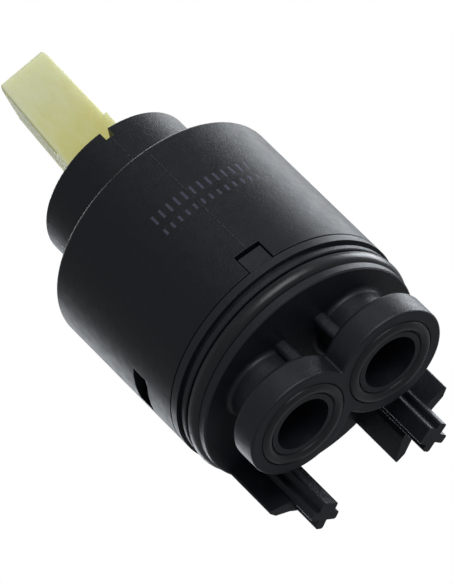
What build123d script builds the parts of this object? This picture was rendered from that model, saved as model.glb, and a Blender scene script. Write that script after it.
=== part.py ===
from build123d import *
from math import cos, radians, sin, sqrt
import os

os.makedirs("parts", exist_ok=True)

# Single-lever ceramic-disc mixer cartridge. Millimetres, +Z up.
# The origin is on the body axis at the casing's bottom rim.

# Casing
CASING_R = 17.5
CASING_TOP = 25.0
BORE_R = 16.0
SHOULDER_UNDERSIDE = 23.1
NECK_R = 11.5
NECK_TOP = 35.4
NECK_BORE_R = 9.3
KEY_NOTCH_W = 3.9
KEY_NOTCH_H = 3.2
WINDOW_W = 6.5
WINDOW_Z0 = 4.9
WINDOW_Z1 = 7.9
RIM_NOTCH_W = 1.3
RIM_NOTCH_DEPTH = 1.55

# Swivel stop
SWIVEL_HALF_TRAVEL = 50.0
STOP_RIB_HALF = 8.0
STOP_RIB_R = 14.7
STOP_RIB_BOTTOM = 18.8
STOP_MARGIN = 1.2

# Lever, tilted towards -Y at rest and turned slightly with the swivel head
LEVER_SWIVEL = -9.0
LEVER_TILT = 22.0
LEVER_TILT_END = -3.0
PIVOT_Z = 29.4
LEVER_T = 6.0
BLADE_ROOT_W = 8.2
BLADE_TIP_W = 7.5
BLADE_CORNER = 1.0
BLADE_FRONT_TOP = 24.7
BLADE_BACK_TOP = 20.8
BLADE_EDGE = 0.3
ROOT_SIDE = 4.45
ROOT_TOP = 12.6
PIVOT_BOSS_R = 3.0
PIN_R = 1.5
PIN_HALF = 8.3
BALL_ARM = 9.4
BALL_R = 2.6
BALL_SWING = (LEVER_TILT - LEVER_TILT_END) / 2
DISC_OFFSET = BALL_ARM * sin(radians(BALL_SWING))
ARM_R = 1.5
BALL_NECK_Y = sqrt(BALL_R**2 - ARM_R**2) - BALL_ARM

# Swivel head
SWIVEL_FLANGE_R = 15.9
SWIVEL_FLANGE_BOTTOM = 18.6
SWIVEL_FLANGE_TOP = 22.4
TOWER_R = 9.24
TOWER_TOP = 34.4
SWIVEL_GROOVE_R = 7.5
SWIVEL_GROOVE_Z0 = 24.6
SWIVEL_GROOVE_Z1 = 26.6
SWIVEL_RING_R = 0.87
SLIP_RING_INNER = 9.9
SHANK_SLOT_W = 5.8
SHANK_SLOT_L = 9.6
SLOT_CLEARANCE = 0.3

# Disc stack
DECK_Z = 8.0
FIXED_DISC_BOTTOM = 8.4
FIXED_DISC_TOP = 12.0
FIXED_DISC_R = 14.4
MOVING_DISC_TOP = 15.4
MOVING_DISC_R = 12.6
CARRIER_R = 13.2
CARRIER_PLATE_TOP = 18.2
CARRIER_BLOCK_TOP = 20.2
CARRIER_BLOCK_W = 14.0
CARRIER_BLOCK_L = 15.0
SOCKET_BOSS_R = 4.6
SOCKET_BOSS_TOP = 21.2
SOCKET_BOTTOM = 17.2
LAP_GAP = 0.03
CARRIER_LUG_W = 3.0
CARRIER_LUG_DEPTH = 1.2
CARRIER_LUG_DROP = 2.2
CARRIER_SEAL_OUTER = 10.5
CARRIER_SEAL_INNER = 9.3
CARRIER_SEAL_H = 1.0
ROOF_R = 7.0
ROOF_DEPTH = 1.0
MIX_R = 6.3
MIX_LOBE_R = 9.4
MIX_LOBE_HALF = 35.0

# Ports, as arcs about the body axis
INLET_ARC_R = 8.0
INLET_PORT_W = 2.6
OUTLET_ARC_R = 5.6
OUTLET_PORT_W = 5.2
SEAL_BAND = 1.2
SEAL_GAP = 0.3

# Distributor base
FLANGE_R = 17.5
BAND_BOTTOM = -1.35
LAND_R = 17.1
LAND_TOP = -1.6
GROOVE_Z1 = -2.7
GROOVE_Z0 = -5.1
GROOVE_R = 14.94
BOTTOM_FLANGE_R = 16.7
BASE_UNDERSIDE = -6.3
PLUG_R = 15.9
RIM_TOP = 11.0
O_RING_SECTION_R = 1.18
TUBE_X = 7.0
TUBE_Y = -4.9
STALK_R = 5.0
COLLAR_R = 8.1
COLLAR_TOP = -10.9
TUBE_END = -15.1
STALK_FLARE = 0.7
COLLAR_FILLET = 0.35
COLLAR_BACK_FILLET = 0.7
COLLAR_CREASE = 0.25
INLET_R = 4.0
LIP_R = 4.8
SEAL_GROOVE_R = 6.5
SEAL_GROOVE_DEPTH = 2.2
LEG_AZIMUTH = 51.0
LEG_INNER = 13.5
LEG_OUTER = 15.4
LEG_TIP = 15.3
LEG_HALF_W = 6.5
LEG_ROOT_HALF_W = 2.4
LEG_FLARE_IN = 1.85
LEG_FLARE_OUT = 0.5
LEG_EDGE = 0.25
LEG_END = -14.7
PEG_END = -18.9
PEG_T = 0.85
PEG_N = 13.1
PEG_W = 4.5
PEG_DEPTH = 4.2
PEG_ARM = 1.3
PEG_ROUND = 0.35
RIB_X = 3.1
RIB_Y = -7.4
RIB_W = 1.85
RIB_L = 5.0
RIB_ROUND = 0.6
RIM_INNER_R = 14.6
TAB_W = 3.5
TAB_TOP = 2.65
DISC_LUG_W = 2.8
FINGER_ROOT = 2.0
FINGER_POCKET_R = 13.9
FINGER_HALF_W = 3.05
BARB_R = 16.9
INLET_TOP = 2.0
DECK_GROOVE_DEPTH = 1.2
SEAL_PROUD = 0.4

hot_arc = CenterArc((0, 0), INLET_ARC_R, -142, 28)
cold_arc = CenterArc((0, 0), INLET_ARC_R, -66, 28)
outlet_arc = CenterArc((0, 0), OUTLET_ARC_R, 58, 64)
INLET_ARCS = [hot_arc, cold_arc]
TUBES = [(-TUBE_X, TUBE_Y), (TUBE_X, TUBE_Y)]


def swivel_plane(z, back=0.0):
    """Level plane turned with the swivel head, +y to the back, moved back by this much."""
    turn = radians(LEVER_SWIVEL)
    return Plane(
        origin=(-back * sin(turn), back * cos(turn), z),
        x_dir=(cos(turn), sin(turn), 0),
        z_dir=(0, 0, 1),
    )


def side_plane(tilt):
    """Plane across the lever pin: +x to the front, +y up along a lever tilted by this angle."""
    turn = radians(LEVER_SWIVEL)
    lean = radians(tilt)
    return Plane(
        origin=(0, 0, PIVOT_Z),
        x_dir=(sin(turn) * cos(lean), -cos(turn) * cos(lean), -sin(lean)),
        z_dir=(-cos(turn), -sin(turn), 0),
    )


def face_plane(tilt):
    """Plane facing the front of a lever tilted by this angle: +x across it, +y up along it."""
    side = side_plane(tilt)
    return Plane(origin=side.origin, x_dir=-side.z_dir, z_dir=side.x_dir)


def slot_wall(side, tilt, height):
    """Point on a tilt stop, in the upright plane across the pin: side 1 is the front wall."""
    reach = side * (PIVOT_BOSS_R + SLOT_CLEARANCE)
    lean = radians(tilt)
    return (reach * cos(lean) + height * sin(lean), height * cos(lean) - reach * sin(lean))


def leg_plane(z, side):
    """Level plane for one leg: +y straight out through the leg's middle."""
    spread = radians(LEG_AZIMUTH)
    return Plane(
        origin=(0, 0, z),
        x_dir=(sin(spread), -side * cos(spread), 0),
        z_dir=(0, 0, 1),
    )


def ring_sector(inner, outer, middle, half_angle):
    """Part of a flat ring, drawn into the open sketch."""
    with BuildLine() as outline:
        rim = CenterArc((0, 0), outer, middle - half_angle, 2 * half_angle)
        root = CenterArc((0, 0), inner, middle - half_angle, 2 * half_angle)
        Line(rim @ 0, root @ 0)
        Line(rim @ 1, root @ 1)
    make_face(outline.edges())


def port_seal_ring(arc, port_width):
    """Outline of the seal that runs round a port, drawn into the open sketch."""
    SlotArc(arc, port_width + 2 * (SEAL_GAP + SEAL_BAND))
    SlotArc(arc, port_width + 2 * SEAL_GAP, mode=Mode.SUBTRACT)


# Casing: cup with a stepped neck
with BuildPart() as casing:
    with BuildSketch(Plane.XY):
        Circle(CASING_R)
    extrude(amount=CASING_TOP)
    with BuildSketch(Plane.XY.offset(CASING_TOP)):
        Circle(NECK_R)
    extrude(amount=NECK_TOP - CASING_TOP)
    shoulder_edges = casing.edges().filter_by_position(Axis.Z, CASING_TOP, CASING_TOP)
    fillet(shoulder_edges.sort_by(SortBy.RADIUS)[-1], 0.7)
    fillet(casing.edges().group_by(Axis.Z)[-1], 0.25)
    with BuildSketch(Plane.XY):
        Circle(BORE_R)
    extrude(amount=SHOULDER_UNDERSIDE, mode=Mode.SUBTRACT)
    with BuildSketch(Plane.XY.offset(SHOULDER_UNDERSIDE)):
        Circle(NECK_BORE_R)
    extrude(amount=NECK_TOP, mode=Mode.SUBTRACT)
    # Stop that limits the swivel head's turn
    with BuildSketch(Plane.XY.offset(STOP_RIB_BOTTOM)):
        ring_sector(STOP_RIB_R, BORE_R + 0.5, 90, STOP_RIB_HALF)
    extrude(amount=SHOULDER_UNDERSIDE - STOP_RIB_BOTTOM + 0.5)
    # Key notch at the front of the rim
    with BuildSketch(Plane.XY):
        with Locations((0, -CASING_R)):
            Rectangle(KEY_NOTCH_W, 5)
    extrude(amount=KEY_NOTCH_H, mode=Mode.SUBTRACT)
    # Latch windows
    with BuildSketch(Plane.XY.offset(WINDOW_Z0)):
        with Locations((CASING_R, 0), (-CASING_R, 0)):
            Rectangle(5, WINDOW_W)
    extrude(amount=WINDOW_Z1 - WINDOW_Z0, mode=Mode.SUBTRACT)
    # Index notch in the neck's rim
    with BuildSketch(Plane.XY.offset(NECK_TOP - RIM_NOTCH_DEPTH)):
        with Locations((0, -NECK_R)):
            Rectangle(RIM_NOTCH_W, 6)
    extrude(amount=RIM_NOTCH_DEPTH, mode=Mode.SUBTRACT)
casing.part.label = "casing"

# Distributor base: plug, flange, inlet stalks, legs and locating pegs
with BuildPart() as distributor_base:
    with BuildSketch(Plane.XZ):
        with BuildLine():
            Polyline(
                (0, BASE_UNDERSIDE),
                (BOTTOM_FLANGE_R - 0.2, BASE_UNDERSIDE),
                (BOTTOM_FLANGE_R, BASE_UNDERSIDE + 0.2),
                (BOTTOM_FLANGE_R, GROOVE_Z0),
                (GROOVE_R, GROOVE_Z0),
                (GROOVE_R, GROOVE_Z1),
                (LAND_R - 0.15, GROOVE_Z1),
                (LAND_R, GROOVE_Z1 + 0.15),
                (LAND_R, LAND_TOP - 0.35),
                (LAND_R - 0.4, LAND_TOP),
                (LAND_R - 0.4, BAND_BOTTOM),
                (FLANGE_R, BAND_BOTTOM),
                (FLANGE_R, -0.2),
                (FLANGE_R - 0.2, 0),
                (PLUG_R, 0),
                (PLUG_R, RIM_TOP),
                (RIM_INNER_R, RIM_TOP),
                (RIM_INNER_R, DECK_Z),
                (0, DECK_Z),
                close=True,
            )
        make_face()
    revolve(axis=Axis.Z)
    # Tab in the casing's key notch
    with BuildSketch(Plane.XY):
        with Locations((0, -PLUG_R)):
            Rectangle(TAB_W, 2.6)
    extrude(amount=TAB_TOP)
    # Lugs that stop the fixed disc turning
    with BuildSketch(Plane.XY.offset(DECK_Z)):
        with Locations((0, RIM_INNER_R), (0, -RIM_INNER_R)):
            Rectangle(DISC_LUG_W, 2)
    extrude(amount=RIM_TOP - DECK_Z)
    # Latch fingers, freed by a pocket behind and a slit at each side
    with BuildSketch(Plane.XY.offset(FINGER_ROOT)):
        with Locations((FINGER_POCKET_R, 0), (-FINGER_POCKET_R, 0)):
            Rectangle(1.4, 2 * FINGER_HALF_W + 1.2)
        with Locations(*[(x * 15.2, y * (FINGER_HALF_W + 0.3)) for x in (-1, 1) for y in (-1, 1)]):
            Rectangle(3.2, 0.6)
    extrude(amount=RIM_TOP - FINGER_ROOT, mode=Mode.SUBTRACT)
    with BuildSketch(Plane.XZ):
        for side in (1, -1):
            with BuildLine():
                Polyline(
                    (side * (PLUG_R - 0.6), WINDOW_Z0 + 0.15),
                    (side * BARB_R, WINDOW_Z0 + 0.15),
                    (side * BARB_R, WINDOW_Z0 + 1.0),
                    (side * (PLUG_R - 0.1), WINDOW_Z1 - 0.2),
                    (side * (PLUG_R - 0.6), WINDOW_Z1 - 0.2),
                    close=True,
                )
            make_face()
    extrude(amount=FINGER_HALF_W, both=True)
    # Stalks, flared into the underside, with a front rib each, then the collars
    with BuildSketch(Plane.XY.offset(BASE_UNDERSIDE)):
        with Locations(*TUBES):
            Circle(STALK_R)
    extrude(amount=COLLAR_TOP - BASE_UNDERSIDE)
    root_edges = distributor_base.edges().filter_by_position(Axis.Z, BASE_UNDERSIDE, BASE_UNDERSIDE)
    fillet(root_edges.sort_by(SortBy.RADIUS)[:2], STALK_FLARE)
    with BuildSketch(Plane.XY.offset(BASE_UNDERSIDE)):
        with Locations((RIB_X, RIB_Y), (-RIB_X, RIB_Y)):
            RectangleRounded(RIB_W, RIB_L, RIB_ROUND)
    extrude(amount=COLLAR_TOP - BASE_UNDERSIDE)
    with BuildSketch(Plane.XY.offset(TUBE_END)) as collars:
        with Locations(*TUBES):
            Circle(COLLAR_R)
        fillet(collars.vertices().group_by(lambda v: round(abs(v.X), 3))[0], COLLAR_CREASE)
    extrude(amount=COLLAR_TOP - TUBE_END)
    collar_edges = distributor_base.edges().filter_by_position(Axis.Z, TUBE_END, TUBE_END)
    fillet(collar_edges, COLLAR_FILLET)
    back_edges = distributor_base.edges().filter_by_position(Axis.Z, COLLAR_TOP, COLLAR_TOP)
    collar_backs = back_edges.filter_by(GeomType.CIRCLE).filter_by(lambda e: e.radius > COLLAR_R - 0.01)
    fillet(collar_backs, COLLAR_BACK_FILLET)
    # Legs: a wide plate each, with a cross-shaped peg that reaches lower
    for side in (1, -1):
        with BuildSketch(leg_plane(LEG_END, side)) as leg_outline:
            with BuildLine():
                Polyline(
                    (-LEG_HALF_W, LEG_TIP),
                    (-LEG_ROOT_HALF_W, LEG_INNER),
                    (LEG_ROOT_HALF_W, LEG_INNER),
                    (LEG_HALF_W, LEG_TIP),
                    (LEG_HALF_W - LEG_FLARE_IN, LEG_OUTER + LEG_FLARE_OUT),
                    (LEG_ROOT_HALF_W, LEG_OUTER),
                    (-LEG_ROOT_HALF_W, LEG_OUTER),
                    (LEG_FLARE_IN - LEG_HALF_W, LEG_OUTER + LEG_FLARE_OUT),
                    close=True,
                )
            make_face()
            fillet(leg_outline.vertices(), LEG_EDGE)
        extrude(amount=BASE_UNDERSIDE - LEG_END)
        with BuildSketch(leg_plane(PEG_END, side)):
            with Locations((side * PEG_T, PEG_N)):
                RectangleRounded(PEG_W, PEG_ARM, PEG_ROUND)
                RectangleRounded(PEG_ARM, PEG_DEPTH, PEG_ROUND)
            with Locations((side * PEG_T, PEG_N - PEG_DEPTH / 4)):
                RectangleRounded(2 * PEG_ARM, PEG_DEPTH / 2, PEG_ROUND)
        extrude(amount=BASE_UNDERSIDE - PEG_END)
    # Water ways: two inlets, turned to kidney ports at the deck, and the outlet
    with BuildSketch(Plane.XY.offset(TUBE_END)):
        with Locations(*TUBES):
            Circle(INLET_R)
    extrude(amount=INLET_TOP - TUBE_END, mode=Mode.SUBTRACT)
    with BuildSketch(Plane.XY.offset(INLET_TOP - 0.5)):
        for arc in INLET_ARCS:
            SlotArc(arc, INLET_PORT_W)
    extrude(amount=DECK_Z - INLET_TOP + 1, mode=Mode.SUBTRACT)
    with BuildSketch(Plane.XY.offset(BASE_UNDERSIDE)):
        SlotArc(outlet_arc, OUTLET_PORT_W)
    extrude(amount=DECK_Z - BASE_UNDERSIDE, mode=Mode.SUBTRACT)
    # Seal grooves in the deck and in the tube ends
    with BuildSketch(Plane.XY.offset(DECK_Z)):
        for arc in INLET_ARCS:
            port_seal_ring(arc, INLET_PORT_W)
    extrude(amount=-DECK_GROOVE_DEPTH, mode=Mode.SUBTRACT)
    with BuildSketch(Plane.XY.offset(DECK_Z)):
        port_seal_ring(outlet_arc, OUTLET_PORT_W)
    extrude(amount=-DECK_GROOVE_DEPTH, mode=Mode.SUBTRACT)
    with BuildSketch(Plane.XY.offset(TUBE_END)):
        with Locations(*TUBES):
            Circle(SEAL_GROOVE_R)
            Circle(LIP_R, mode=Mode.SUBTRACT)
    extrude(amount=SEAL_GROOVE_DEPTH, mode=Mode.SUBTRACT)
distributor_base.part.label = "distributor_base"

# Large ring that seals the flange
with BuildPart() as body_o_ring:
    with BuildSketch(Plane.XZ):
        with Locations((GROOVE_R + O_RING_SECTION_R, (GROOVE_Z0 + GROOVE_Z1) / 2)):
            Circle(O_RING_SECTION_R)
    revolve(axis=Axis.Z)
body_o_ring.part.label = "body_o_ring"


def draw_inlet_seal():
    """Half-section of the ring in a tube end, with a rounded face, drawn into the open sketch."""
    inner = LIP_R + 0.05
    outer = SEAL_GROOVE_R - 0.05
    bottom = TUBE_END + SEAL_GROOVE_DEPTH
    crown_foot = TUBE_END - SEAL_PROUD + (outer - inner) / 2
    with BuildLine() as section:
        Polyline((inner, crown_foot), (inner, bottom), (outer, bottom), (outer, crown_foot))
        ThreePointArc(
            (inner, crown_foot),
            ((inner + outer) / 2, TUBE_END - SEAL_PROUD),
            (outer, crown_foot),
        )
    make_face(section.edges())


with BuildPart() as inlet_seal_hot:
    with BuildSketch(Plane((-TUBE_X, TUBE_Y, 0), x_dir=(1, 0, 0), z_dir=(0, -1, 0))):
        draw_inlet_seal()
    revolve(axis=Axis((-TUBE_X, TUBE_Y, 0), (0, 0, 1)))
inlet_seal_hot.part.label = "inlet_seal_hot"

with BuildPart() as inlet_seal_cold:
    with BuildSketch(Plane((TUBE_X, TUBE_Y, 0), x_dir=(1, 0, 0), z_dir=(0, -1, 0))):
        draw_inlet_seal()
    revolve(axis=Axis((TUBE_X, TUBE_Y, 0), (0, 0, 1)))
inlet_seal_cold.part.label = "inlet_seal_cold"

# Seals between the base's deck and the fixed disc
with BuildPart() as port_seal_hot:
    with BuildSketch(Plane.XY.offset(DECK_Z - DECK_GROOVE_DEPTH)):
        port_seal_ring(hot_arc, INLET_PORT_W)
    extrude(amount=FIXED_DISC_BOTTOM - DECK_Z + DECK_GROOVE_DEPTH)
port_seal_hot.part.label = "port_seal_hot"

with BuildPart() as port_seal_cold:
    with BuildSketch(Plane.XY.offset(DECK_Z - DECK_GROOVE_DEPTH)):
        port_seal_ring(cold_arc, INLET_PORT_W)
    extrude(amount=FIXED_DISC_BOTTOM - DECK_Z + DECK_GROOVE_DEPTH)
port_seal_cold.part.label = "port_seal_cold"

with BuildPart() as port_seal_outlet:
    with BuildSketch(Plane.XY.offset(DECK_Z - DECK_GROOVE_DEPTH)):
        port_seal_ring(outlet_arc, OUTLET_PORT_W)
    extrude(amount=FIXED_DISC_BOTTOM - DECK_Z + DECK_GROOVE_DEPTH)
port_seal_outlet.part.label = "port_seal_outlet"

# Fixed ceramic disc
with BuildPart() as fixed_disc:
    with BuildSketch(Plane.XY.offset(FIXED_DISC_BOTTOM)):
        Circle(FIXED_DISC_R)
        for arc in INLET_ARCS:
            SlotArc(arc, INLET_PORT_W, mode=Mode.SUBTRACT)
        SlotArc(outlet_arc, OUTLET_PORT_W, mode=Mode.SUBTRACT)
        with Locations((0, RIM_INNER_R), (0, -RIM_INNER_R)):
            Rectangle(DISC_LUG_W + 0.3, 2.3, mode=Mode.SUBTRACT)
    extrude(amount=FIXED_DISC_TOP - FIXED_DISC_BOTTOM)
fixed_disc.part.label = "fixed_disc"

# Moving ceramic disc, at rest moved back so that its opening clears both inlets
with BuildPart() as moving_disc:
    with BuildSketch(swivel_plane(FIXED_DISC_TOP + LAP_GAP, DISC_OFFSET)):
        Circle(MOVING_DISC_R)
        with PolarLocations(MOVING_DISC_R, 3, start_angle=90):
            Rectangle(2 * CARRIER_LUG_DEPTH, CARRIER_LUG_W + 0.3, mode=Mode.SUBTRACT)
    extrude(amount=MOVING_DISC_TOP - FIXED_DISC_TOP - LAP_GAP)
    with BuildSketch(swivel_plane(FIXED_DISC_TOP)):
        Circle(MIX_R)
        ring_sector(1.0, MIX_LOBE_R, 90, MIX_LOBE_HALF)
    extrude(amount=MOVING_DISC_TOP - FIXED_DISC_TOP, mode=Mode.SUBTRACT)
moving_disc.part.label = "moving_disc"

# Disc carrier: plate, guide block and socket for the lever's ball
with BuildPart() as disc_carrier:
    with BuildSketch(swivel_plane(MOVING_DISC_TOP, DISC_OFFSET)):
        Circle(CARRIER_R)
    extrude(amount=CARRIER_PLATE_TOP - MOVING_DISC_TOP)
    with BuildSketch(swivel_plane(CARRIER_PLATE_TOP, DISC_OFFSET)):
        RectangleRounded(CARRIER_BLOCK_W, CARRIER_BLOCK_L, 0.8)
    extrude(amount=CARRIER_BLOCK_TOP - CARRIER_PLATE_TOP)
    with BuildSketch(swivel_plane(CARRIER_BLOCK_TOP, DISC_OFFSET)):
        Circle(SOCKET_BOSS_R)
    extrude(amount=SOCKET_BOSS_TOP - CARRIER_BLOCK_TOP)
    with BuildSketch(swivel_plane(SOCKET_BOTTOM, DISC_OFFSET)):
        Circle(BALL_R + 0.05)
    extrude(amount=SOCKET_BOSS_TOP - SOCKET_BOTTOM, mode=Mode.SUBTRACT)
    # Lugs that drive the moving disc
    with BuildSketch(swivel_plane(MOVING_DISC_TOP, DISC_OFFSET)):
        with PolarLocations(MOVING_DISC_R - CARRIER_LUG_DEPTH / 2 + 0.05, 3, start_angle=90):
            Rectangle(CARRIER_LUG_DEPTH - 0.1, CARRIER_LUG_W)
    extrude(amount=-CARRIER_LUG_DROP)
    # Roof of the mixing space and the groove for its seal
    with BuildSketch(swivel_plane(MOVING_DISC_TOP, DISC_OFFSET)):
        Circle(ROOF_R)
    extrude(amount=ROOF_DEPTH, mode=Mode.SUBTRACT)
    with BuildSketch(swivel_plane(MOVING_DISC_TOP, DISC_OFFSET)):
        Circle(CARRIER_SEAL_OUTER)
        Circle(CARRIER_SEAL_INNER, mode=Mode.SUBTRACT)
    extrude(amount=CARRIER_SEAL_H, mode=Mode.SUBTRACT)
disc_carrier.part.label = "disc_carrier"

with BuildPart() as carrier_seal:
    with BuildSketch(swivel_plane(MOVING_DISC_TOP, DISC_OFFSET)):
        Circle(CARRIER_SEAL_OUTER)
        Circle(CARRIER_SEAL_INNER, mode=Mode.SUBTRACT)
    extrude(amount=CARRIER_SEAL_H)
carrier_seal.part.label = "carrier_seal"

# Swivel head: flange in the casing, tower in the neck, slot for the lever
with BuildPart() as swivel_head:
    with BuildSketch(Plane.XY.offset(SWIVEL_FLANGE_BOTTOM)):
        Circle(SWIVEL_FLANGE_R)
    extrude(amount=SWIVEL_FLANGE_TOP - SWIVEL_FLANGE_BOTTOM)
    with BuildSketch(Plane.XY.offset(SWIVEL_FLANGE_TOP)):
        Circle(TOWER_R)
    extrude(amount=TOWER_TOP - SWIVEL_FLANGE_TOP)
    chamfer(swivel_head.edges().group_by(Axis.Z)[-1], 0.4)
    # Groove for the neck seal
    with BuildSketch(Plane.XY.offset(SWIVEL_GROOVE_Z0)):
        Circle(TOWER_R + 0.5)
        Circle(SWIVEL_GROOVE_R, mode=Mode.SUBTRACT)
    extrude(amount=SWIVEL_GROOVE_Z1 - SWIVEL_GROOVE_Z0, mode=Mode.SUBTRACT)
    # Arc that runs past the casing's stop
    with BuildSketch(swivel_plane(SWIVEL_FLANGE_BOTTOM)):
        ring_sector(
            STOP_RIB_R - 0.3,
            SWIVEL_FLANGE_R + 1,
            90,
            SWIVEL_HALF_TRAVEL + STOP_RIB_HALF + STOP_MARGIN,
        )
    extrude(amount=SWIVEL_FLANGE_TOP - SWIVEL_FLANGE_BOTTOM, mode=Mode.SUBTRACT)
    # Channel for the carrier's guide block, and room for its boss
    with BuildSketch(swivel_plane(SWIVEL_FLANGE_BOTTOM)):
        Rectangle(CARRIER_BLOCK_W + 0.1, CARRIER_BLOCK_L + 2 * DISC_OFFSET + 0.8)
    extrude(amount=CARRIER_BLOCK_TOP - SWIVEL_FLANGE_BOTTOM + 0.2, mode=Mode.SUBTRACT)
    with BuildSketch(swivel_plane(CARRIER_BLOCK_TOP)):
        Rectangle(2 * SOCKET_BOSS_R + 0.6, 2 * (SOCKET_BOSS_R + DISC_OFFSET) + 0.8)
    extrude(amount=SOCKET_BOSS_TOP - CARRIER_BLOCK_TOP + 0.3, mode=Mode.SUBTRACT)
    # Passage for the lever's lower arm
    with BuildSketch(swivel_plane(SOCKET_BOSS_TOP)):
        Rectangle(SHANK_SLOT_W, SHANK_SLOT_L)
    extrude(amount=PIVOT_Z - 1.4 - SOCKET_BOSS_TOP, mode=Mode.SUBTRACT)
    # Slot for the blade, its two end walls being the tilt stops
    with BuildSketch(side_plane(0)):
        Circle(PIVOT_BOSS_R + SLOT_CLEARANCE)
        with BuildLine():
            Polyline(
                (0, 0),
                slot_wall(1, LEVER_TILT, 0),
                slot_wall(1, LEVER_TILT, 8),
                slot_wall(-1, LEVER_TILT_END, 8),
                slot_wall(-1, LEVER_TILT_END, 0),
                close=True,
            )
        make_face()
    extrude(amount=ROOT_SIDE + 0.15, both=True, mode=Mode.SUBTRACT)
    with BuildSketch(side_plane(0)):
        Circle(PIN_R)
    extrude(amount=TOWER_R, both=True, mode=Mode.SUBTRACT)
swivel_head.part.label = "swivel_head"

with BuildPart() as swivel_o_ring:
    with BuildSketch(Plane.XZ):
        with Locations((SWIVEL_GROOVE_R + SWIVEL_RING_R, (SWIVEL_GROOVE_Z0 + SWIVEL_GROOVE_Z1) / 2)):
            Circle(SWIVEL_RING_R)
    revolve(axis=Axis.Z)
swivel_o_ring.part.label = "swivel_o_ring"

with BuildPart() as slip_ring:
    with BuildSketch(Plane.XY.offset(SWIVEL_FLANGE_TOP + 0.05)):
        Circle(STOP_RIB_R - 0.3)
        Circle(SLIP_RING_INNER, mode=Mode.SUBTRACT)
    extrude(amount=SHOULDER_UNDERSIDE - SWIVEL_FLANGE_TOP - 0.05)
slip_ring.part.label = "slip_ring"

with BuildPart() as lever_pin:
    with BuildSketch(side_plane(0)):
        Circle(PIN_R)
    extrude(amount=PIN_HALF, both=True)
    chamfer(lever_pin.edges().filter_by(GeomType.CIRCLE), 0.25)
lever_pin.part.label = "lever_pin"

# Lever: blade, wider root round the pin, and an arm with a ball end
with BuildPart() as lever:
    with BuildSketch(face_plane(LEVER_TILT)) as blade_face:
        with BuildLine():
            Polyline(
                (-BLADE_ROOT_W / 2, 0),
                (-BLADE_ROOT_W / 2, ROOT_TOP),
                (-BLADE_TIP_W / 2, BLADE_FRONT_TOP),
                (BLADE_TIP_W / 2, BLADE_FRONT_TOP),
                (BLADE_ROOT_W / 2, ROOT_TOP),
                (BLADE_ROOT_W / 2, 0),
                close=True,
            )
        make_face()
        fillet(blade_face.vertices().group_by(Axis.Y)[-1], BLADE_CORNER)
    extrude(amount=LEVER_T / 2, both=True)
    with BuildSketch(side_plane(LEVER_TILT)):
        with BuildLine():
            Polyline(
                (-LEVER_T / 2, 2),
                (-LEVER_T / 2, BLADE_BACK_TOP),
                (LEVER_T / 2, BLADE_FRONT_TOP),
                (LEVER_T / 2, 2),
                close=True,
            )
        make_face()
    extrude(amount=BLADE_ROOT_W, both=True, mode=Mode.INTERSECT)
    blade_axis = Axis(face_plane(LEVER_TILT).origin, face_plane(LEVER_TILT).y_dir)
    fillet(lever.edges().group_by(blade_axis)[1:], BLADE_EDGE)
    with BuildSketch(side_plane(LEVER_TILT)):
        with Locations((0, ROOT_TOP / 2)):
            Rectangle(LEVER_T, ROOT_TOP)
        Circle(PIVOT_BOSS_R)
    extrude(amount=BLADE_ROOT_W / 2, both=True)
    # Shoulder on one side of the root
    with BuildSketch(face_plane(LEVER_TILT)):
        with Locations((ROOT_SIDE / 2, ROOT_TOP / 2)):
            Rectangle(ROOT_SIDE, ROOT_TOP)
    extrude(amount=LEVER_T / 2, both=True)
    arm_plane = side_plane(BALL_SWING)
    with BuildSketch(arm_plane):
        with BuildLine():
            Polyline((0, -BALL_ARM - BALL_R), (0, 0), (2.4, 0), (2.4, -3), (ARM_R, BALL_NECK_Y))
            ThreePointArc((ARM_R, BALL_NECK_Y), (BALL_R, -BALL_ARM), (0, -BALL_ARM - BALL_R))
        make_face()
    revolve(axis=Axis(arm_plane.origin, arm_plane.y_dir))
    with BuildSketch(side_plane(LEVER_TILT)):
        Circle(PIN_R + 0.05)
    extrude(amount=2 * ROOT_SIDE, both=True, mode=Mode.SUBTRACT)
lever.part.label = "lever"

PIECES = [
    casing,
    distributor_base,
    body_o_ring,
    inlet_seal_hot,
    inlet_seal_cold,
    port_seal_hot,
    port_seal_cold,
    port_seal_outlet,
    fixed_disc,
    moving_disc,
    carrier_seal,
    disc_carrier,
    swivel_head,
    swivel_o_ring,
    slip_ring,
    lever_pin,
    lever,
]
for piece in PIECES:
    export_step(piece.part, f"parts/{piece.part.label}.step")
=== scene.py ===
import bpy
from mathutils import Matrix, Vector


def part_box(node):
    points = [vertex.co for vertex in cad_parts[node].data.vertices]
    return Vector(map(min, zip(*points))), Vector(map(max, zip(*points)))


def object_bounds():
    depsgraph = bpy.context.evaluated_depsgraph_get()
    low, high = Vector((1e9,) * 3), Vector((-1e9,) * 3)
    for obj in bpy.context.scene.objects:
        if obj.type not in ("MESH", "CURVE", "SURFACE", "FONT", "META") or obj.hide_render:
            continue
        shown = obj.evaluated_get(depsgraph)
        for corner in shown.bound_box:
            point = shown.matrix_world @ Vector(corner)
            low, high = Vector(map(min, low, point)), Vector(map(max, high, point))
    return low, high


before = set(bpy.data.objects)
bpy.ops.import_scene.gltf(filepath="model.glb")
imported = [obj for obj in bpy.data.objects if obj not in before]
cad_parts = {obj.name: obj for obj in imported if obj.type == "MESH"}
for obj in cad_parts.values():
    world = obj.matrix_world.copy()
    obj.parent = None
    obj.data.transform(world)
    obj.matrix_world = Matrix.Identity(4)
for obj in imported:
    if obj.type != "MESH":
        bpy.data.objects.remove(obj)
CAD_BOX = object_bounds()

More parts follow.
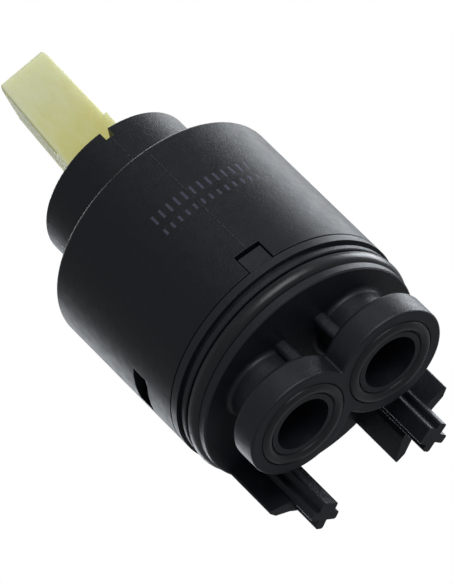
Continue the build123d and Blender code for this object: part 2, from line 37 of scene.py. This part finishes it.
MM = 0.001
LEVER_ROOT_Z = 34.0
LEVER_TIP_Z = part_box("lever")[1].z / MM
CASING_R = 17.5
BODY_RING_Z = -3.9
TICK_ROWS = ((15.4, 1.5, 1.25, 0.36), (13.0, 1.0, 1.25, 0.36))  # height, tick length, pitch, width, in mm
TICK_CENTRE = 1.9
INK_BLUR = 0.05
scene = bpy.context.scene
scene.view_settings.view_transform = "Standard"
scene.view_settings.look = "None"


# ---------------------------------------------------------------- node helpers

class Graph:
    """A material's nodes, made by short calls that return sockets."""

    def __init__(self, name):
        self.material = bpy.data.materials.new(name)
        self.material.use_nodes = True
        self.tree = self.material.node_tree
        self.tree.nodes.clear()
        self.bsdf = self.tree.nodes.new("ShaderNodeBsdfPrincipled")
        output = self.tree.nodes.new("ShaderNodeOutputMaterial")
        self.tree.links.new(self.bsdf.outputs[0], output.inputs["Surface"])
        self.place = self.tree.nodes.new("ShaderNodeTexCoord").outputs["Object"]

    def put(self, socket, value):
        if isinstance(value, bpy.types.NodeSocket):
            self.tree.links.new(value, socket)
        else:
            socket.default_value = value

    def math(self, operation, a, b=0.0, c=0.0, clamp=False):
        node = self.tree.nodes.new("ShaderNodeMath")
        node.operation = operation
        node.use_clamp = clamp
        for socket, value in zip(node.inputs, (a, b, c)):
            self.put(socket, value)
        return node.outputs[0]

    def scaled(self, factors):
        """Object coordinates times these factors, in 1/m."""
        node = self.tree.nodes.new("ShaderNodeVectorMath")
        node.operation = "MULTIPLY"
        self.put(node.inputs[0], self.place)
        node.inputs[1].default_value = factors
        return node.outputs[0]

    def noise(self, per_mm, detail=2.0, rough=0.5, stretch=(1, 1, 1)):
        node = self.tree.nodes.new("ShaderNodeTexNoise")
        self.put(node.inputs["Vector"], self.scaled([s * 1000.0 for s in stretch]))
        node.inputs["Scale"].default_value = per_mm
        node.inputs["Detail"].default_value = detail
        node.inputs["Roughness"].default_value = rough
        return node.outputs["Fac"]

    def spread(self, value, low, high, to_low=0.0, to_high=1.0, smooth=False):
        node = self.tree.nodes.new("ShaderNodeMapRange")
        node.interpolation_type = "SMOOTHSTEP" if smooth else "LINEAR"
        for socket, item in zip(node.inputs, (value, low, high, to_low, to_high)):
            self.put(socket, item)
        return node.outputs[0]

    def xyz(self):
        node = self.tree.nodes.new("ShaderNodeSeparateXYZ")
        self.put(node.inputs[0], self.place)
        return [self.math("MULTIPLY", out, 1000.0) for out in node.outputs]

    def mix(self, factor, a, b):
        node = self.tree.nodes.new("ShaderNodeMix")
        node.data_type = "RGBA"
        self.put(node.inputs[0], factor)
        self.put(node.inputs[6], a)
        self.put(node.inputs[7], b)
        return node.outputs[2]

    def bump(self, height, depth_mm, below=None, strength=1.0):
        node = self.tree.nodes.new("ShaderNodeBump")
        self.put(node.inputs["Height"], height)
        node.inputs["Distance"].default_value = depth_mm * MM
        node.inputs["Strength"].default_value = strength
        if below is not None:
            self.put(node.inputs["Normal"], below)
        return node.outputs[0]

    def soft_edges(self, radius_mm):
        node = self.tree.nodes.new("ShaderNodeBevel")
        node.samples = 4
        node.inputs["Radius"].default_value = radius_mm * MM
        return node.outputs[0]

    def edge_wear_and_rim_light(self, radius_mm):
        """1 on edges and corners, 0 on flats: where the rounded normal leaves the true one."""
        geometry = self.tree.nodes.new("ShaderNodeNewGeometry")
        dot = self.tree.nodes.new("ShaderNodeVectorMath")
        dot.operation = "DOT_PRODUCT"
        self.put(dot.inputs[0], self.soft_edges(radius_mm))
        self.put(dot.inputs[1], geometry.outputs["Normal"])
        return self.spread(dot.outputs["Value"], 0.995, 0.85)

    def finish(self, **sockets):
        for name, value in sockets.items():
            self.put(self.bsdf.inputs[name.replace("_", " ")], value)
        return self.material


def rgb(*srgb):
    """Display colour, 0-255, as a linear colour."""
    return tuple(((c / 255 + 0.055) / 1.055) ** 2.4 if c > 10 else c / 255 / 12.92 for c in srgb) + (1.0,)


# ---------------------------------------------------------------- materials

def black_moulding(name, deep, pale, grain=1.0, edge=0.14, seam=False, batch_marks=False):
    g = Graph(name)
    x, y, z = g.xyz()
    broad = g.noise(0.12, detail=3.0)
    cloud = g.noise(0.7, detail=3.0)
    fine = g.noise(4.4, detail=3.0, rough=0.7)
    dust = g.spread(g.noise(5.0, detail=1.0), 0.62, 0.74)
    wear = g.edge_wear_and_rim_light(0.16)
    colour = g.mix(g.math("MULTIPLY", g.math("ADD", broad, cloud), 0.5), deep, pale)
    colour = g.mix(g.math("MULTIPLY", dust, 0.12), colour, rgb(72, 74, 82))
    colour = g.mix(g.math("MULTIPLY", wear, 0.18), colour, rgb(66, 69, 77))
    rough = g.spread(g.math("ADD", cloud, g.math("MULTIPLY", fine, 0.6)), 0.5, 1.1, 0.36, 0.50)
    if batch_marks:
        ink = batch_mark(g, x, y, z, fine)
        colour = g.mix(ink, colour, rgb(74, 76, 92))
        rough = g.math("ADD", rough, g.math("MULTIPLY", ink, 0.12))
    normal = g.soft_edges(edge)
    normal = g.bump(fine, 0.034 * grain, normal)
    normal = g.bump(cloud, 0.03 * grain, normal)
    if seam:
        line = g.spread(g.math("ABSOLUTE", x), 0.02, 0.09, 1.0, 0.0, smooth=True)
        line = g.math("MULTIPLY", line, g.math("LESS_THAN", y, -8.0))
        normal = g.bump(line, 0.05, normal)
    return g.finish(Base_Color=colour, Roughness=rough, Normal=normal, Specular_IOR_Level=0.45)


def batch_mark(g, x, y, z, fine):
    """Two printed rows of plain upright ticks round the front of the casing."""
    turn = g.math("MULTIPLY", g.math("ARCTAN2", x, g.math("MULTIPLY", y, -1.0)), CASING_R)
    ink = None
    for middle, height, pitch, wide in TICK_ROWS:
        place = g.math("ABSOLUTE", g.math("SUBTRACT", g.math("FLOORED_MODULO", turn, pitch), pitch / 2))
        column = g.spread(place, wide / 2 - INK_BLUR, wide / 2 + INK_BLUR, 1.0, 0.0)
        above = g.math("ABSOLUTE", g.math("SUBTRACT", z, middle))
        row = g.spread(above, height / 2 - INK_BLUR, height / 2 + INK_BLUR, 1.0, 0.0)
        tick = g.math("MULTIPLY", column, row)
        ink = tick if ink is None else g.math("MAXIMUM", ink, tick)
    span = g.spread(g.math("ABSOLUTE", g.math("SUBTRACT", turn, TICK_CENTRE)), 8.1, 8.2, 1.0, 0.0)
    patchy = g.spread(fine, 0.35, 0.55, 0.45, 0.95)
    return g.math("MULTIPLY", g.math("MULTIPLY", ink, span), patchy)


def lever_plastic(name):
    """Clouded translucent plastic: deep yellow at the thick root, paler at the tip, with a painted pale rim
    highlight along the edges.
    """
    g = Graph(name)
    height = g.xyz()[2]
    broad = g.noise(0.16, detail=2.0)
    fine = g.noise(4.0, detail=3.0, rough=0.6)
    flow = g.noise(0.6, detail=2.0, stretch=(1.6, 1.6, 0.5))
    up = g.spread(height, LEVER_ROOT_Z, LEVER_TIP_Z, 0.0, 1.0, smooth=True)
    up = g.math("ADD", up, g.spread(flow, 0.3, 0.7, -0.14, 0.14), clamp=True)
    colour = g.mix(up, rgb(224, 217, 116), rgb(236, 237, 192))
    colour = g.mix(g.math("MULTIPLY", broad, 0.3), colour, rgb(230, 224, 140))
    # painted highlight: a pale whitish rim painted into the colour along the lever's edges, in place of light
    # at its thin edges
    colour = g.mix(g.math("MULTIPLY", g.edge_wear_and_rim_light(1.6), 0.75), colour, rgb(242, 244, 214))
    rough = g.spread(fine, 0.3, 0.7, 0.36, 0.48)
    normal = g.soft_edges(0.1)
    normal = g.bump(fine, 0.008, normal)
    normal = g.bump(g.noise(0.5), 0.03, normal)
    g.bsdf.subsurface_method = "RANDOM_WALK"
    g.bsdf.inputs["Subsurface Radius"].default_value = (1.0, 0.9, 0.45)
    g.bsdf.inputs["Subsurface Scale"].default_value = 2.2 * MM
    g.bsdf.inputs["Subsurface Weight"].default_value = 0.5
    return g.finish(Base_Color=colour, Roughness=rough, Normal=normal, Specular_IOR_Level=0.45)


def seal_rubber(name, flash_z=None):
    g = Graph(name)
    height = g.xyz()[2]
    broad = g.noise(0.2)
    fine = g.noise(7.0, detail=2.0, rough=0.6)
    colour = g.mix(broad, rgb(16, 16, 19), rgb(24, 25, 28))
    rough = g.spread(g.math("ADD", broad, g.math("MULTIPLY", fine, 0.6)), 0.4, 1.2, 0.27, 0.38)
    normal = g.bump(fine, 0.006)
    normal = g.bump(g.noise(0.7), 0.03, normal)
    if flash_z is not None:
        away = g.math("ABSOLUTE", g.math("SUBTRACT", height, flash_z))
        flash = g.spread(away, 0.015, 0.06, 1.0, 0.0, smooth=True)
        normal = g.bump(flash, 0.02, normal)
    return g.finish(Base_Color=colour, Roughness=rough, Normal=normal, Sheen_Weight=0.08, Sheen_Roughness=0.5)


def inner_plastic(name):
    g = Graph(name)
    broad = g.noise(0.15, detail=3.0)
    fine = g.noise(5.0, detail=3.0)
    colour = g.mix(broad, rgb(214, 214, 209), rgb(224, 224, 221))
    colour = g.mix(g.math("MULTIPLY", g.edge_wear_and_rim_light(0.15), 0.4), colour, rgb(240, 240, 238))
    rough = g.spread(fine, 0.3, 0.7, 0.40, 0.55)
    normal = g.bump(fine, 0.010, g.soft_edges(0.15))
    return g.finish(Base_Color=colour, Roughness=rough, Normal=normal)


def lapped_ceramic(name):
    g = Graph(name)
    speckle = g.spread(g.noise(9.0, detail=1.0), 0.62, 0.75)
    colour = g.mix(g.noise(0.1), rgb(236, 233, 226), rgb(243, 241, 236))
    colour = g.mix(g.math("MULTIPLY", speckle, 0.25), colour, rgb(205, 200, 190))
    rough = g.spread(g.noise(2.0, detail=3.0), 0.3, 0.7, 0.16, 0.3)
    normal = g.bump(g.noise(12.0, detail=1.0), 0.003, g.soft_edges(0.08))
    return g.finish(Base_Color=colour, Roughness=rough, Normal=normal)


def pin_steel(name):
    g = Graph(name)
    turning = g.noise(1.2, detail=2.0, stretch=(12, 1, 1))
    colour = g.mix(g.noise(0.4), rgb(190, 190, 192), rgb(205, 205, 205))
    rough = g.spread(turning, 0.3, 0.7, 0.22, 0.38)
    normal = g.bump(turning, 0.006, g.soft_edges(0.08))
    return g.finish(Base_Color=colour, Metallic=1.0, Roughness=rough, Normal=normal)


MATERIALS = {
    "casing": black_moulding(
        "casing_moulding", rgb(11, 12, 17), rgb(18, 20, 26), grain=1.2, seam=True, batch_marks=True
    ),
    # painted fill light: the base is given a lighter black than the casing to lift its shaded underside and
    # bores
    "distributor_base": black_moulding("base_moulding_painted_fill", rgb(22, 24, 29), rgb(33, 35, 41), edge=0.05),
    "lever": lever_plastic("lever_moulding"),
    "body_o_ring": seal_rubber("body_ring_rubber", flash_z=BODY_RING_Z),
    "lever_pin": pin_steel("turned_steel"),
}
RUBBER = seal_rubber("small_ring_rubber")
INNER = inner_plastic("white_moulding")
CERAMIC = lapped_ceramic("lapped_ceramic")
for node in ("inlet_seal_hot", "inlet_seal_cold", "port_seal_hot", "port_seal_cold",
             "port_seal_outlet", "carrier_seal", "swivel_o_ring"):
    MATERIALS[node] = RUBBER
for node in ("disc_carrier", "swivel_head", "slip_ring"):
    MATERIALS[node] = INNER
for node in ("fixed_disc", "moving_disc"):
    MATERIALS[node] = CERAMIC

for node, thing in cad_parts.items():
    thing.data.materials.clear()
    thing.data.materials.append(MATERIALS[node])


# ---------------------------------------------------------------- floor, light and camera

FLOOR_HALF = 6.0
lowest = CAD_BOX[0].z
corners = [(x * FLOOR_HALF, y * FLOOR_HALF, lowest) for x, y in ((-1, -1), (1, -1), (1, 1), (-1, 1))]
floor_mesh = bpy.data.meshes.new("floor")
floor_mesh.from_pydata(corners, [], [(0, 1, 2, 3)])
floor = bpy.data.objects.new("floor", floor_mesh)
scene.collection.objects.link(floor)
# The view is from under the object, so the floor shows from above only and blocks no light.
floor_paint = bpy.data.materials.new("pale_floor")
floor_paint.use_nodes = True
nodes, links = floor_paint.node_tree.nodes, floor_paint.node_tree.links
nodes.clear()
facing = nodes.new("ShaderNodeNewGeometry")
clear = nodes.new("ShaderNodeBsdfTransparent")
matt = nodes.new("ShaderNodeBsdfDiffuse")
matt.inputs["Color"].default_value = (0.86, 0.86, 0.86, 1)
either = nodes.new("ShaderNodeMixShader")
sheet = nodes.new("ShaderNodeOutputMaterial")
links.new(facing.outputs["Backfacing"], either.inputs[0])
links.new(matt.outputs[0], either.inputs[1])
links.new(clear.outputs[0], either.inputs[2])
links.new(either.outputs[0], sheet.inputs["Surface"])
floor_mesh.materials.append(floor_paint)
floor.visible_shadow = False
floor.visible_diffuse = False
floor.visible_glossy = False

AIM = Vector((0, 0, 0.012))
CAMERA_PLACE = Vector((-0.2530386, -0.7597009, -0.5072695))
CAMERA_LENS = 457.2919


def softbox(name, place, size, watts, tint=(1, 1, 1)):
    data = bpy.data.lights.new(name, "AREA")
    data.shape = "RECTANGLE"
    data.size, data.size_y = size
    data.energy = watts
    data.color = tint
    lamp = bpy.data.objects.new(name, data)
    lamp.location = place
    lamp.rotation_euler = (AIM - Vector(place)).to_track_quat("-Z", "Y").to_euler()
    scene.collection.objects.link(lamp)


# The viewer's right, down and forward, in the object's frame
RIGHT = Vector((0.7890223, 0.1449740, -0.5970145))
DOWN = Vector((-0.5542169, 0.5873053, -0.5898442))
FORWARD = Vector((0.2651177, 0.7962758, 0.5437440))


def seen(right, up, away):
    """A place given as the viewer sees it, in metres from the object."""
    return AIM + RIGHT * right - DOWN * up + FORWARD * away


softbox("key", seen(0.10, 0.45, -0.55), (0.5, 0.5), 2.7, (0.94, 0.97, 1.0))
softbox("right_rim", seen(0.55, 0.52, 0.46), (0.55, 0.55), 7.5, (0.90, 0.95, 1.0))
softbox("left_rim", seen(-0.45, -0.55, 1.10), (0.5, 0.5), 2.6, (0.90, 0.95, 1.0))
softbox("top_fill", (0.3, 0.5, 0.9), (0.8, 0.8), 6.0)

world = bpy.data.worlds.new("studio")
scene.world = world
world.use_nodes = True
nodes, links = world.node_tree.nodes, world.node_tree.links
nodes.clear()
path = nodes.new("ShaderNodeLightPath")
ambient = nodes.new("ShaderNodeBackground")
ambient.inputs["Color"].default_value = (0.92, 0.96, 1.0, 1)
ambient.inputs["Strength"].default_value = 0.25
backdrop = nodes.new("ShaderNodeBackground")
backdrop.inputs["Color"].default_value = (1, 1, 1, 1)
backdrop.inputs["Strength"].default_value = 1.0
choose = nodes.new("ShaderNodeMixShader")
sky = nodes.new("ShaderNodeOutputWorld")
links.new(path.outputs["Is Camera Ray"], choose.inputs[0])
links.new(ambient.outputs[0], choose.inputs[1])
links.new(backdrop.outputs[0], choose.inputs[2])
links.new(choose.outputs[0], sky.inputs["Surface"])

camera_data = bpy.data.cameras.new("camera")
camera_data.lens = CAMERA_LENS
camera_data.sensor_width = 36
camera_data.clip_start = 0.05
camera_data.clip_end = 10
camera = bpy.data.objects.new("camera", camera_data)
scene.collection.objects.link(camera)
camera.matrix_world = Matrix((
    (RIGHT.x, -DOWN.x, -FORWARD.x, CAMERA_PLACE.x),
    (RIGHT.y, -DOWN.y, -FORWARD.y, CAMERA_PLACE.y),
    (RIGHT.z, -DOWN.z, -FORWARD.z, CAMERA_PLACE.z),
    (0, 0, 0, 1),
))
scene.camera = camera
